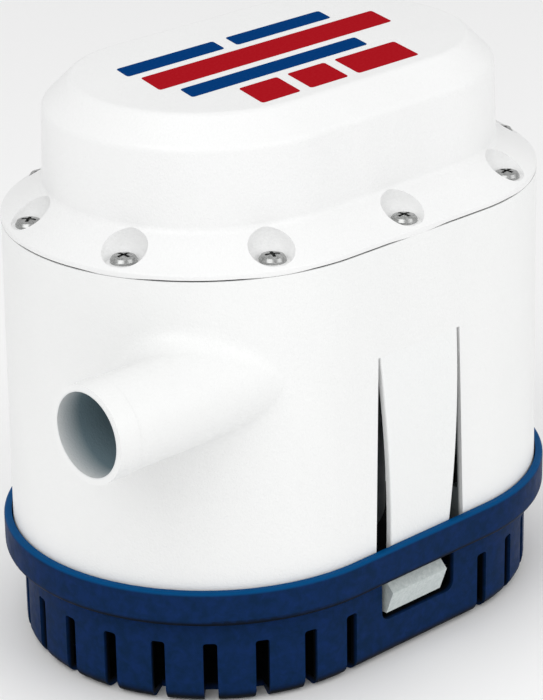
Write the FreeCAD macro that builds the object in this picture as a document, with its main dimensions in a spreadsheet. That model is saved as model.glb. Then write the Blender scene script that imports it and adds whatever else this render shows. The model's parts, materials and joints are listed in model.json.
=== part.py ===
import FreeCAD, Part
import math
import os
import re
import Sketcher

# Automatic submersible bilge pump, in millimetres.
#
# The body is a stadium in plan: two half-round ends joined by straight flanks. X runs along
# it, the discharge spigot points to -X beside the front flank (-Y), and Z is up. The origin
# is the middle of the underside, on the surface that the pump stands on. The motor and its
# impeller stand in the -X end, the float switch hangs in the +X end.

DRIVING_DIMENSIONS = {
    # plan of the body
    "half_straight": 27.5,
    "shell_radius": 60.0,
    "shell_radius_low": 61.0,
    "shell_wall": 2.0,
    "shell_bottom": 31.0,
    "seam_height": 133.2,
    "gasket_thickness": 0.5,
    # strainer base
    "skirt_radius": 58.2,
    "skirt_wall": 2.5,
    "base_floor": 2.5,
    "base_edge_round": 4.5,
    "lip_radius": 63.7,
    "lip_bore": 61.4,
    "lip_bottom": 27.8,
    "lip_top": 39.0,
    "lip_round": 1.1,
    "lip_lower_round": 2.4,
    "inlet_slot_width": 4.2,
    "inlet_slot_top": 20.0,
    "inlet_slot_centre": 28.3,
    "base_offset": 2.1,
    "inlet_slot_inner_radius": 50.0,
    "inlet_slot_round": 1.0,
    "window_half_width": 15.5,
    "window_bottom": 12.7,
    "window_top": 27.0,
    "window_round": 3.0,
    "base_hole_x": 44.0,
    "base_hole_y": 30.0,
    "base_hole_radius": 2.6,
    # top cover
    "rim_height": 1.3,
    "dome_foot_radius": 47.6,
    "dome_foot_height": 143.3,
    "dome_top_radius": 46.8,
    "dome_top_height": 167.0,
    "crown_radius": 38.7,
    "cover_height": 175.0,
    "cover_wall": 2.8,
    "flange_bore": 48.0,
    "cover_screw_ring": 54.0,
    "cover_spot_ring": 54.6,
    "cover_spot_radius": 7.2,
    "cover_spot_height": 135.7,
    "cover_spot_middle": 141.24,
    "cover_screw_head": 3.9,
    "cover_screw_shank": 1.6,
    "cover_screw_length": 13.0,
    "boss_radius": 4.8,
    # decks and walls inside the housing
    "deck_bottom": 116.0,
    "deck_top": 119.0,
    "chamber_radius": 50.0,
    "chamber_wall": 2.5,
    "chamber_bottom": 38.0,
    "capsule_radius": 27.0,
    "capsule_wall": 3.0,
    "capsule_bottom": 56.0,
    "capsule_floor": 3.0,
    # discharge spigot
    "spigot_y": -42.0,
    "spigot_height": 100.4,
    "spigot_mouth": -111.0,
    "spigot_inner_end": -32.0,
    "spigot_band_radius": 14.3,
    "spigot_band_length": 7.0,
    "spigot_tube_radius": 13.85,
    "spigot_bore_radius": 12.3,
    "spigot_root_round": 6.5,
    # latches
    "latch_hinge_height": 99.8,
    "latch_half_top": 16.1,
    "latch_half_low": 11.2,
    "latch_slot_half_top": 16.95,
    "latch_slot_half_low": 18.8,
    "latch_slot_bottom": 30.0,
    "latch_step_top": 36.0,
    "latch_leg_face": 55.2,
    "latch_thickness": 2.0,
    "latch_bow": 1.5,
    "latch_edge_round": 0.6,
    "latch_guide_top": 46.0,
    "catch_half_width": 11.6,
    "catch_bottom": 15.1,
    "catch_ridge": 22.6,
    "catch_top": 26.2,
    "catch_foot_reach": 58.2,
    "catch_reach": 61.0,
    # motor
    "shaft_radius": 3.0,
    "running_clearance": 0.05,
    "shaft_bottom": 39.0,
    "shaft_top": 113.0,
    "can_radius": 26.8,
    "can_wall": 1.5,
    "can_bottom": 59.2,
    "can_top": 110.0,
    "end_cap_top": 114.0,
    "bush_radius": 6.0,
    "magnet_inner": 20.6,
    "magnet_outer": 25.2,
    "core_radius": 19.8,
    "core_bottom": 69.0,
    "core_top": 95.0,
    "commutator_radius": 7.0,
    "seal_radius": 8.0,
    "retainer_radius": 38.0,
    "retainer_ring": 33.0,
    # impeller and volute
    "impeller_radius": 24.0,
    "impeller_top": 54.0,
    "impeller_vane_bottom": 43.5,
    "impeller_hub_radius": 6.5,
    "eye_radius": 14.0,
    "volute_thickness": 3.0,
    "volute_screw_ring": 46.5,
    # float switch
    "float_pivot_x": 36.0,
    "float_pivot_height": 78.0,
    "float_pin_radius": 1.5,
    "float_near": 43.0,
    "float_far": 68.0,
    "float_bottom": 50.0,
    "float_top": 66.0,
    "float_half_width": 20.0,
    "switch_module_height": 12.0,
    # cable inlet
    "inlet_x": -14.0,
    "inlet_height": 125.0,
    "inlet_bore": 3.2,
    "inlet_thread": 4.2,
    "inlet_flange": 6.8,
}

doc = FreeCAD.newDocument("bilge_pump")
dims = doc.addObject("Spreadsheet::Sheet", "Dims")
for row, (alias, number) in enumerate(DRIVING_DIMENSIONS.items(), 1):
    dims.set(f"A{row}", str(number))
    dims.setAlias(f"A{row}", alias)
doc.recompute()

PUMP_X = "-half_straight"
FIXING_HEAD = "3"
FIXING_SHANK = "1.4"
FIXING_PILOT = "1.45"
FIXING_HOLE = "1.7"
BRACKET_SCREWS = [(33, -13), (33, 13)]
MODULE_SCREWS = [(38, -20), (38, 20)]
RETAINER_ANGLES = (90, 210, 330)
VOLUTE_ANGLES = (45, 135, 225, 315)
INLET_SLOT_PITCH = 15
INLET_SLOTS_PER_END = 13
COVER_SCREW_PITCH = 45
Z_TO_X = FreeCAD.Rotation(FreeCAD.Vector(0, 1, 0), 90)
Z_TO_Y = FreeCAD.Rotation(FreeCAD.Vector(1, 0, 0), -90)
Y_TO_Z = FreeCAD.Rotation(FreeCAD.Vector(1, 0, 0), 90)

parts = []


# ---------------------------------------------------------------- sheet and document helpers

def bound(text):
    """An expression over the sheet's aliases, as the document writes it."""
    def full_name(word):
        name = word.group(0)
        return f"Dims.{name}" if name in DRIVING_DIMENSIONS else name
    return re.sub(r"[A-Za-z_]\w*", full_name, str(text))


def size(text):
    """The number that an expression over the aliases comes to."""
    return float(dims.evalExpression(bound(text)))


def bind(item, bindings):
    """Bind each named property of an object to its expression."""
    for name, text in bindings.items():
        item.setExpression(name, bound(text))
    return item


def place(item, x, y, z):
    """Bind where an object stands."""
    return bind(item, {"Placement.Base.x": x, "Placement.Base.y": y, "Placement.Base.z": z})


def finished(item, label):
    """Name an object as one sub-part of the pump."""
    item.Label = label
    parts.append(item)
    return item


# ---------------------------------------------------------------- solid helpers

def cylinder(name, radius, z0, z1, x="0", y="0"):
    """An upright cylinder from z0 to z1."""
    item = doc.addObject("Part::Cylinder", name)
    bind(item, {"Radius": radius, "Height": f"({z1}) - ({z0})"})
    return place(item, x, y, z0)


def lying_cylinder(name, radius, x0, x1, y, z):
    """A cylinder along X from x0 to x1."""
    item = doc.addObject("Part::Cylinder", name)
    item.Placement.Rotation = Z_TO_X
    bind(item, {"Radius": radius, "Height": f"({x1}) - ({x0})"})
    return place(item, x0, y, z)


def cross_cylinder(name, radius, y0, y1, x, z):
    """A cylinder along Y from y0 to y1."""
    item = doc.addObject("Part::Cylinder", name)
    item.Placement.Rotation = Z_TO_Y
    bind(item, {"Radius": radius, "Height": f"({y1}) - ({y0})"})
    return place(item, x, y0, z)


def block(name, x0, x1, y0, y1, z0, z1):
    """A box between two corners."""
    item = doc.addObject("Part::Box", name)
    bind(item, {"Length": f"({x1}) - ({x0})", "Width": f"({y1}) - ({y0})",
                "Height": f"({z1}) - ({z0})"})
    return place(item, x0, y0, z0)


def wedge(name, half_low, half_high, y0, y1, z0, z1):
    """A block whose half width along X runs from half_low at z0 to half_high at z1."""
    item = doc.addObject("Part::Wedge", name)
    item.Placement.Rotation = Y_TO_Z
    return bind(item, {
        "Xmin": f"-({half_low})", "Xmax": half_low, "X2min": f"-({half_high})",
        "X2max": half_high, "Ymin": z0, "Ymax": z1, "Zmin": f"-({y1})", "Zmax": f"-({y0})",
        "Z2min": f"-({y1})", "Z2max": f"-({y0})"})


def fuse(name, pieces):
    item = doc.addObject("Part::MultiFuse", name)
    item.Shapes = pieces
    item.Refine = True
    return item


def cut(name, base, tool):
    item = doc.addObject("Part::Cut", name)
    item.Base = base
    item.Tool = tool
    item.Refine = True
    return item


def common(name, pieces):
    item = doc.addObject("Part::MultiCommon", name)
    item.Shapes = pieces
    item.Refine = True
    return item


def rounded(name, base, picks):
    """Fillet the edges of a solid: picks lists (radius, test of an edge)."""
    doc.recompute()
    item = doc.addObject("Part::Fillet", name)
    item.Base = base
    rounds = []
    for radius, chosen in picks:
        number = size(radius)
        for index, edge in enumerate(base.Shape.Edges, 1):
            if chosen(edge):
                rounds.append((index, number, number))
    item.Edges = rounds
    return item


def level(edge, height):
    """Whether an edge lies flat at one height."""
    box = edge.BoundBox
    return abs(box.ZMin - height) < 0.01 and abs(box.ZMax - height) < 0.01


def stadium(name, low_radius, high_radius, z0, z1):
    """A stadium-shaped frustum: half-round ends of the given radii on straight flanks."""
    ends = []
    for side, x in (("near", "-half_straight"), ("far", "half_straight")):
        if low_radius == high_radius:
            ends.append(cylinder(f"{name}_{side}", low_radius, z0, z1, x))
            continue
        end = doc.addObject("Part::Cone", f"{name}_{side}")
        bind(end, {"Radius1": low_radius, "Radius2": high_radius,
                   "Height": f"({z1}) - ({z0})"})
        ends.append(place(end, x, "0", z0))
    middle = doc.addObject("Part::Wedge", f"{name}_middle")
    middle.Placement.Rotation = Y_TO_Z
    bind(middle, {
        "Xmin": "-half_straight", "Xmax": "half_straight", "X2min": "-half_straight",
        "X2max": "half_straight", "Ymin": z0, "Ymax": z1,
        "Zmin": f"-({low_radius})", "Zmax": low_radius,
        "Z2min": f"-({high_radius})", "Z2max": high_radius})
    return fuse(name, ends + [middle])


def flat_sketch(body, name, role, outline):
    """A closed outline of straight lines in one of a body's origin planes, its corners bound
    to the sheet. A corner is a pair of expressions."""
    plane = next(item for item in body.Origin.OriginFeatures if item.Role == role)
    sketch = body.newObject("Sketcher::SketchObject", name)
    sketch.AttachmentSupport = [(plane, "")]
    sketch.MapMode = "FlatFace"
    corners = [FreeCAD.Vector(size(a), size(b), 0) for a, b in outline]
    count = len(corners)
    for index in range(count):
        line = Part.LineSegment(corners[index], corners[(index + 1) % count])
        sketch.addGeometry(line, False)
    for index in range(count):
        sketch.addConstraint(
            Sketcher.Constraint("Coincident", index, 2, (index + 1) % count, 1))
    for index, (across, up) in enumerate(outline):
        for kind, text in (("DistanceX", across), ("DistanceY", up)):
            if abs(size(text)) < 1e-9:
                axis = -2 if kind == "DistanceX" else -1
                sketch.addConstraint(Sketcher.Constraint("PointOnObject", index, 1, axis))
                continue
            number = sketch.addConstraint(
                Sketcher.Constraint(kind, -1, 1, index, 1, size(text)))
            sketch.setExpression(f"Constraints[{number}]", bound(text))
    return sketch


def turned(name, outline, x=PUMP_X, y="0"):
    """A body turned about an upright axis from an outline of (radius, height) corners."""
    body = doc.addObject("PartDesign::Body", name)
    sketch = flat_sketch(body, f"{name}_outline", "XZ_Plane", outline)
    turn = body.newObject("PartDesign::Revolution", f"{name}_turn")
    turn.Profile = sketch
    turn.ReferenceAxis = (sketch, ["V_Axis"])
    turn.Angle = 360
    body.Tip = turn
    return place(body, x, y, "0")


def ring(name, inner, outer, z0, z1, x=PUMP_X, y="0"):
    """A plain ring or disc about an upright axis."""
    return turned(name, [(inner, z0), (outer, z0), (outer, z1), (inner, z1)], x, y)


def screw_solid(head_radius, shank_radius, length):
    """A pan-head screw with a cross recess: its head's underside at height 0, shank down."""
    head_height = 0.52 * head_radius
    crown = 0.55 * head_radius
    corner = FreeCAD.Vector(head_radius, 0, 0.35 * head_height)
    shoulder = FreeCAD.Vector(0.86 * head_radius, 0, 0.78 * head_height)
    top = FreeCAD.Vector(0, 0, head_height)
    rise = FreeCAD.Vector(crown, 0, 0.95 * head_height)
    points = [FreeCAD.Vector(0, 0, -length), FreeCAD.Vector(0.5 * shank_radius, 0, -length),
              FreeCAD.Vector(shank_radius, 0, -length + shank_radius),
              FreeCAD.Vector(shank_radius, 0, 0), FreeCAD.Vector(head_radius, 0, 0), corner]
    edges = [Part.makeLine(a, b) for a, b in zip(points, points[1:])]
    edges.append(Part.makeLine(corner, shoulder))
    edges.append(Part.Arc(shoulder, rise, top).toShape())
    edges.append(Part.makeLine(top, points[0]))
    face = Part.Face(Part.Wire(edges))
    solid = face.revolve(FreeCAD.Vector(0, 0, 0), FreeCAD.Vector(0, 0, 1), 360)
    wing = 0.56 * head_radius
    width = 0.26 * head_radius
    depth = 0.72 * head_height
    for turn in (0, 90):
        slot = Part.makeBox(2 * wing, width, depth + 1,
                            FreeCAD.Vector(-wing, -width / 2, head_height - depth))
        slot.rotate(FreeCAD.Vector(0, 0, 0), FreeCAD.Vector(0, 0, 1), turn)
        solid = solid.cut(slot)
    return solid


def screws(label, spots, head_radius, shank_radius, length, pointing_down=True):
    """One node of like screws, a separate solid at each (x, y, z) spot."""
    master = screw_solid(size(head_radius), size(shank_radius), size(length))
    solids = []
    for index, (x, y, z) in enumerate(spots):
        solid = master.copy()
        solid.rotate(FreeCAD.Vector(0, 0, 0), FreeCAD.Vector(0, 0, 1), 31 * index)
        if not pointing_down:
            solid.rotate(FreeCAD.Vector(0, 0, 0), FreeCAD.Vector(1, 0, 0), 180)
        solid.translate(FreeCAD.Vector(x, y, z))
        solids.append(solid)
    item = doc.addObject("Part::Feature", label)
    item.Shape = Part.makeCompound(solids)
    item.Placement = FreeCAD.Placement()
    return finished(item, label)


def round_about_pump(radius, angles):
    """Places on a circle about the pump's axis."""
    reach = size(radius)
    return [(size(PUMP_X) + reach * math.cos(math.radians(angle)),
             reach * math.sin(math.radians(angle))) for angle in angles]


def places_round_cover(ring_radius):
    """Four places round each end and one in the middle of each flank."""
    reach = size(ring_radius)
    places = [(0.0, -reach), (0.0, reach)]
    for side in (-1, 1):
        for index in range(4):
            angle = math.radians(COVER_SCREW_PITCH * (index + 0.5))
            places.append((side * (size("half_straight") + reach * math.sin(angle)),
                           -reach * math.cos(angle)))
    return places


def dishes(name, places, radius, floor, middle):
    """A tool of like balls with flat bottoms, one at each place."""
    low_angle = math.degrees(math.asin((size(floor) - size(middle)) / size(radius)))
    balls = []
    for index, (x, y) in enumerate(places):
        ball = doc.addObject("Part::Sphere", f"{name}_{index}")
        ball.Angle1 = low_angle
        bind(ball, {"Radius": radius})
        balls.append(place(ball, f"{x:.4f}", f"{y:.4f}", middle))
    return fuse(name, balls)


def upright_holes(name, places, radius, z0, z1):
    """A tool of like upright cylinders, one at each place."""
    return fuse(name, [cylinder(f"{name}_{index}", radius, z0, z1, f"{x:.4f}", f"{y:.4f}")
                       for index, (x, y) in enumerate(places)])


# ---------------------------------------------------------------- strainer base

def inlet_slots():
    """Slots on every pitch round both ends, open down through the rounded bottom edge. They
    and the windows stand a little towards +X of the body's middle."""
    tools = []
    for side, first in (("near", 90), ("far", -90)):
        centre = size("base_offset")
        centre += size("inlet_slot_centre") * (-1 if side == "near" else 1)
        for index in range(INLET_SLOTS_PER_END):
            tool = doc.addObject("Part::Box", f"inlet_slot_{side}_{index}")
            bind(tool, {"Length": "lip_radius - inlet_slot_inner_radius",
                        "Width": "inlet_slot_width", "Height": "inlet_slot_top + 1"})
            start = FreeCAD.Vector(size("inlet_slot_inner_radius"),
                                   -size("inlet_slot_width") / 2, -1)
            turn = FreeCAD.Rotation(FreeCAD.Vector(0, 0, 1), first + INLET_SLOT_PITCH * index)
            tool.Placement = FreeCAD.Placement(
                FreeCAD.Vector(centre, 0, 0) + turn.multVec(start), turn)
            tools.append(rounded(f"inlet_slot_soft_{side}_{index}", tool, [
                ("inlet_slot_round", lambda edge: level(edge, size("inlet_slot_top"))
                    and edge.Length > size("inlet_slot_width") + 1)]))
    return tools


def latch_window(name, y0, y1):
    """The round-cornered window that a latch's catch looks through."""
    hole = block(f"{name}_hole", "base_offset - window_half_width",
                 "base_offset + window_half_width", y0, y1, "window_bottom", "window_top")

    def corner(edge):
        box = edge.BoundBox
        return box.YLength > 1 and box.ZMax < size("window_bottom") + 0.01
    return rounded(name, hole, [("window_round", corner)])


def strainer_base():
    skirt = stadium("skirt", "skirt_radius", "skirt_radius", "0", "lip_bottom + 1")
    lip = stadium("lip", "lip_radius", "lip_radius", "lip_bottom", "lip_top")
    outside = fuse("base_outside", [skirt, lip])

    def outer(edge, height):
        box = edge.BoundBox
        return level(edge, size(height)) and max(abs(box.YMin), abs(box.YMax)) > 1
    soft = rounded("base_soft", outside, [
        ("base_edge_round", lambda edge: outer(edge, "0")),
        ("lip_lower_round", lambda edge: outer(edge, "lip_bottom")
            and edge.BoundBox.YMax > size("lip_radius") - 0.01
            or outer(edge, "lip_bottom") and edge.BoundBox.YMin < -size("lip_radius") + 0.01),
        ("lip_round", lambda edge: outer(edge, "lip_top"))])
    sump = stadium("sump", "skirt_radius - skirt_wall", "skirt_radius - skirt_wall",
                   "base_floor", "lip_top + 1")
    seat = stadium("seat", "lip_bore", "lip_bore", "shell_bottom", "lip_top + 1")
    windows = [latch_window("window_front", "-lip_radius", "5 - skirt_radius"),
               latch_window("window_rear", "skirt_radius - 5", "lip_radius")]
    holes = upright_holes("base_holes", [
        (x * size("base_hole_x"), y * size("base_hole_y")) for x in (-1, 1) for y in (-1, 1)],
        "base_hole_radius", "-1", "base_floor + 1")
    tools = fuse("base_tools", [sump, seat, holes] + windows + inlet_slots())
    finished(cut("strainer_base", soft, tools), "strainer_base")


# ---------------------------------------------------------------- pump housing

def housing_skin():
    """The drafted outer wall with the spigot's tube and band run into it."""
    shell = stadium("shell", "shell_radius_low", "shell_radius", "shell_bottom", "seam_height")
    tube = lying_cylinder("spigot_tube", "spigot_tube_radius", "spigot_mouth + 0.5",
                          "spigot_inner_end", "spigot_y", "spigot_height")
    joined = fuse("shell_and_spigot", [shell, tube])

    def root(edge):
        box = edge.BoundBox
        return (box.ZMax < size("spigot_height") + 15 and box.ZMin > size("spigot_height") - 15
                and box.XMin > size("spigot_mouth") + 5 and box.XMax < size(PUMP_X))
    soft = rounded("shell_soft", joined, [("spigot_root_round", root)])
    band = lying_cylinder("spigot_band", "spigot_band_radius", "spigot_mouth",
                          "spigot_mouth + spigot_band_length", "spigot_y", "spigot_height")
    return fuse("housing_skin", [soft, band])


def latch_slots():
    """The gaps beside both latch tabs, from the shell's foot to the hinge line."""
    front = wedge("latch_gap_front", "latch_slot_half_low", "latch_slot_half_top",
                  "-shell_radius_low - 2", "-shell_radius + shell_wall + 0.6",
                  "latch_slot_bottom", "latch_hinge_height")
    rear = wedge("latch_gap_rear", "latch_slot_half_low", "latch_slot_half_top",
                 "shell_radius - shell_wall - 0.6", "shell_radius_low + 2",
                 "latch_slot_bottom", "latch_hinge_height")
    return [front, rear]


def latch_guides():
    """Upright ribs on the wall's inside that keep each latch tab square in its slot."""
    guides = []
    inner = "latch_slot_half_low + 0.4"
    outer = "latch_slot_half_low + 3"
    for flank, y0, y1 in (("front", "0.5 - shell_radius", "5 - shell_radius"),
                          ("rear", "shell_radius - 5", "shell_radius - 0.5")):
        for side, x0, x1 in (("near", f"-({outer})", f"-({inner})"), ("far", inner, outer)):
            guides.append(block(f"latch_guide_{side}_{flank}", x0, x1, y0, y1,
                                "shell_bottom", "latch_guide_top"))
    return guides


def pump_housing():
    hollow = stadium("hollow", "shell_radius_low - shell_wall", "shell_radius - shell_wall",
                     "shell_bottom", "seam_height")
    wall = cut("outer_wall", housing_skin(), hollow)
    deck = stadium("deck", "shell_radius - shell_wall + 0.5", "shell_radius - shell_wall + 0.5",
                   "deck_bottom", "deck_top")
    chamber_outside = cylinder("chamber_outside", "chamber_radius + chamber_wall",
                               "chamber_bottom", "deck_bottom + 1", PUMP_X)
    chamber_inside = cylinder("chamber_inside", "chamber_radius", "chamber_bottom - 1",
                              "deck_bottom + 2", PUMP_X)
    chamber = cut("chamber", chamber_outside, chamber_inside)
    capsule = cylinder("capsule", "capsule_radius + capsule_wall", "capsule_bottom",
                       "deck_bottom + 1", PUMP_X)
    duct = lying_cylinder("duct", "spigot_tube_radius", "spigot_mouth + 30",
                          "spigot_inner_end", "spigot_y", "spigot_height")
    duct_inside_shell = common("duct_inside_shell", [duct, hollow])
    duct_stop = block("duct_stop", "spigot_inner_end", "spigot_inner_end + 6",
                      "-shell_radius + shell_wall - 0.6", "-chamber_radius - 0.5",
                      "spigot_height - spigot_tube_radius", "deck_bottom + 1")
    cover_bosses = upright_holes("cover_bosses", places_round_cover("cover_screw_ring"),
                                 "boss_radius", "deck_top - 1", "seam_height")
    volute_bosses = upright_holes(
        "volute_bosses", round_about_pump("volute_screw_ring", VOLUTE_ANGLES),
        "boss_radius", "chamber_bottom + volute_thickness", "capsule_bottom + 4")
    retainer_bosses = upright_holes(
        "retainer_bosses", round_about_pump("retainer_ring", RETAINER_ANGLES), "boss_radius",
        "deck_bottom - 8", "deck_bottom + 1")
    bracket_bosses = upright_holes("bracket_bosses", BRACKET_SCREWS, "boss_radius",
                                   "deck_top - 1", "deck_top + 5")
    solid = fuse("housing_solid", latch_guides() + [
        wall, deck, chamber, capsule, duct_inside_shell, duct_stop, cover_bosses, volute_bosses,
        retainer_bosses, bracket_bosses])
    tools = [
        cylinder("capsule_bore", "capsule_radius", "capsule_bottom + capsule_floor",
                 "deck_top + 1", PUMP_X),
        cylinder("seal_bore", "seal_radius", "capsule_bottom - 1",
                 "capsule_bottom + capsule_floor + 1", PUMP_X),
        lying_cylinder("spigot_bore", "spigot_bore_radius", "spigot_mouth - 1",
                       "spigot_inner_end", "spigot_y", "spigot_height"),
        cross_cylinder("inlet_hole", "inlet_thread + 0.1", "shell_radius - shell_wall - 1",
                       "shell_radius_low + 1", "inlet_x", "inlet_height"),
        upright_holes("cover_pilots", places_round_cover("cover_screw_ring"),
                      "cover_screw_shank + 0.05",
                      "cover_spot_height - cover_screw_length - 1", "seam_height + 1"),
        upright_holes("volute_pilots",
                      round_about_pump("volute_screw_ring", VOLUTE_ANGLES), FIXING_PILOT,
                      "chamber_bottom", "chamber_bottom + 14"),
        upright_holes("retainer_pilots", round_about_pump("retainer_ring", RETAINER_ANGLES),
                      FIXING_PILOT, "deck_bottom - 6", "deck_top + 1"),
        upright_holes("bracket_pilots", BRACKET_SCREWS, FIXING_PILOT,
                      "deck_bottom - 1", "deck_top + 3"),
        upright_holes("module_pilots", MODULE_SCREWS, FIXING_PILOT,
                      "deck_bottom - 0.5", "deck_top + 1"),
    ]
    finished(cut("pump_housing", solid, fuse("housing_tools", tools + latch_slots())),
             "pump_housing")


# ---------------------------------------------------------------- latches

def profile_along_x(name, outline, length):
    """A prism along X, centred on the middle plane, from an outline of (y, z) corners."""
    body = doc.addObject("PartDesign::Body", name)
    sketch = flat_sketch(body, f"{name}_outline", "YZ_Plane", outline)
    pad = body.newObject("PartDesign::Pad", f"{name}_pad")
    pad.Profile = sketch
    pad.Midplane = True
    bind(pad, {"Length": length})
    body.Tip = pad
    return body


def bowed_tongue(top_face, low_face):
    """The tongue's curved sheet: it leaves the hinge flush, bows outwards and comes back."""
    tall = size("latch_hinge_height - latch_step_top")
    lean = (size(low_face) - size(top_face)) / tall
    bow = size("latch_bow")
    radius = tall * tall / (8 * bow) + bow / 2
    middle_y = -(size(low_face) + size(top_face)) / 2
    middle_z = size("(latch_hinge_height + latch_step_top) / 2")
    back = radius - bow
    thick = size("latch_thickness")
    reach = "latch_slot_half_low"
    sheets = [lying_cylinder(f"tongue_{side}", f"{far:.4f}", f"-{reach}", reach,
                             f"{middle_y + back:.4f}", f"{middle_z - back * lean:.4f}")
              for side, far in (("outside", radius), ("inside", radius - thick))]
    sheet = cut("tongue_sheet", sheets[0], sheets[1])
    field = block("tongue_field", f"-{reach}", reach, "-shell_radius - 4", "4 - shell_radius",
                  "latch_step_top - 1.6", "latch_hinge_height")
    return common("tongue_bow", [sheet, field])


def latch_tabs():
    """A tongue of each flank that hinges along its top edge and carries a catch below."""
    top_face = "shell_radius + (seam_height - latch_hinge_height) * (shell_radius_low - " \
               "shell_radius) / (seam_height - shell_bottom)"
    low_face = "shell_radius_low"
    leg = profile_along_x("latch_leg", [
        ("0.5 - shell_radius_low", "latch_step_top - 1"),
        ("-latch_leg_face", "shell_bottom - 0.2"),
        ("-latch_leg_face", "catch_bottom"),
        ("latch_thickness - latch_leg_face", "catch_bottom"),
        ("latch_thickness - latch_leg_face", "shell_bottom + 1"),
        ("1.5 - shell_radius_low", "latch_step_top + 0.6")], "2 * latch_slot_half_low")
    side = fuse("latch_side", [bowed_tongue(top_face, low_face), leg])
    front_outline = wedge("latch_outline", "latch_half_low", "latch_half_top",
                          "-shell_radius_low - 4", "20 - shell_radius", "catch_bottom",
                          "latch_hinge_height")
    tongue = common("latch_tongue", [side, front_outline])

    def outer_side(edge):
        return edge.BoundBox.ZLength > 50 and edge.CenterOfMass.y < -size("shell_radius") - 0.6
    soft = rounded("latch_soft", tongue, [("latch_edge_round", outer_side)])
    catch = profile_along_x("catch", [
        ("1 - latch_leg_face", "catch_bottom"), ("-catch_foot_reach", "catch_bottom"),
        ("-catch_reach", "catch_ridge"), ("-catch_foot_reach + 0.8", "catch_top"),
        ("1 - latch_leg_face", "catch_top")], "2 * catch_half_width")
    front = fuse("latch_tab_front", [soft, catch])
    finished(front, "latch_tab_front")
    rear = doc.addObject("Part::Mirroring", "latch_tab_rear")
    rear.Source = front
    rear.Normal = FreeCAD.Vector(0, 1, 0)
    finished(rear, "latch_tab_rear")


# ---------------------------------------------------------------- top cover and its fasteners

def top_cover():
    foot = "seam_height + gasket_thickness"
    outside = fuse("cover_outside", [
        stadium("cover_rim", "shell_radius", "shell_radius", foot, f"{foot} + rim_height"),
        stadium("cover_slope", "shell_radius", "dome_foot_radius", f"{foot} + rim_height",
                "dome_foot_height"),
        stadium("dome", "dome_foot_radius", "dome_top_radius", "dome_foot_height",
                "dome_top_height"),
        stadium("crown", "dome_top_radius", "crown_radius", "dome_top_height",
                "cover_height")])
    soft = rounded("cover_soft", outside, [
        ("2.5", lambda edge: level(edge, size("dome_foot_height"))),
        ("3.0", lambda edge: level(edge, size("dome_top_height"))),
        ("2.4", lambda edge: level(edge, size("cover_height"))),
        ("0.5", lambda edge: level(edge, size(f"{foot} + rim_height")))])
    inside = fuse("cover_inside", [
        stadium("cover_throat", "flange_bore", "dome_foot_radius - cover_wall", foot,
                "dome_foot_height"),
        stadium("dome_inside", "dome_foot_radius - cover_wall", "dome_top_radius - cover_wall",
                "dome_foot_height", "dome_top_height - 1"),
        stadium("crown_inside", "dome_top_radius - cover_wall", "crown_radius - 1.6",
                "dome_top_height - 1", "cover_height - cover_wall")])
    spots = dishes("cover_spots", places_round_cover("cover_spot_ring"),
                   "cover_spot_radius", "cover_spot_height", "cover_spot_middle")
    holes = upright_holes("cover_holes", places_round_cover("cover_screw_ring"),
                          "cover_screw_shank + 0.3", f"{foot} - 1", "cover_spot_height + 1")
    finished(cut("top_cover", soft, fuse("cover_tools", [inside, spots, holes])), "top_cover")


def cover_gasket():
    outer = stadium("gasket_outside", "shell_radius - 0.5", "shell_radius - 0.5",
                    "seam_height", "seam_height + gasket_thickness")
    inner = stadium("gasket_inside", "shell_radius - shell_wall + 0.2",
                    "shell_radius - shell_wall + 0.2", "seam_height - 1", "seam_height + 1")
    finished(cut("cover_gasket", outer, inner), "cover_gasket")


def cover_screws():
    height = size("cover_spot_height")
    screws("cover_screws", [(x, y, height) for x, y in places_round_cover("cover_screw_ring")],
           "cover_screw_head", "cover_screw_shank", "cover_screw_length")


# ---------------------------------------------------------------- motor

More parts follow.
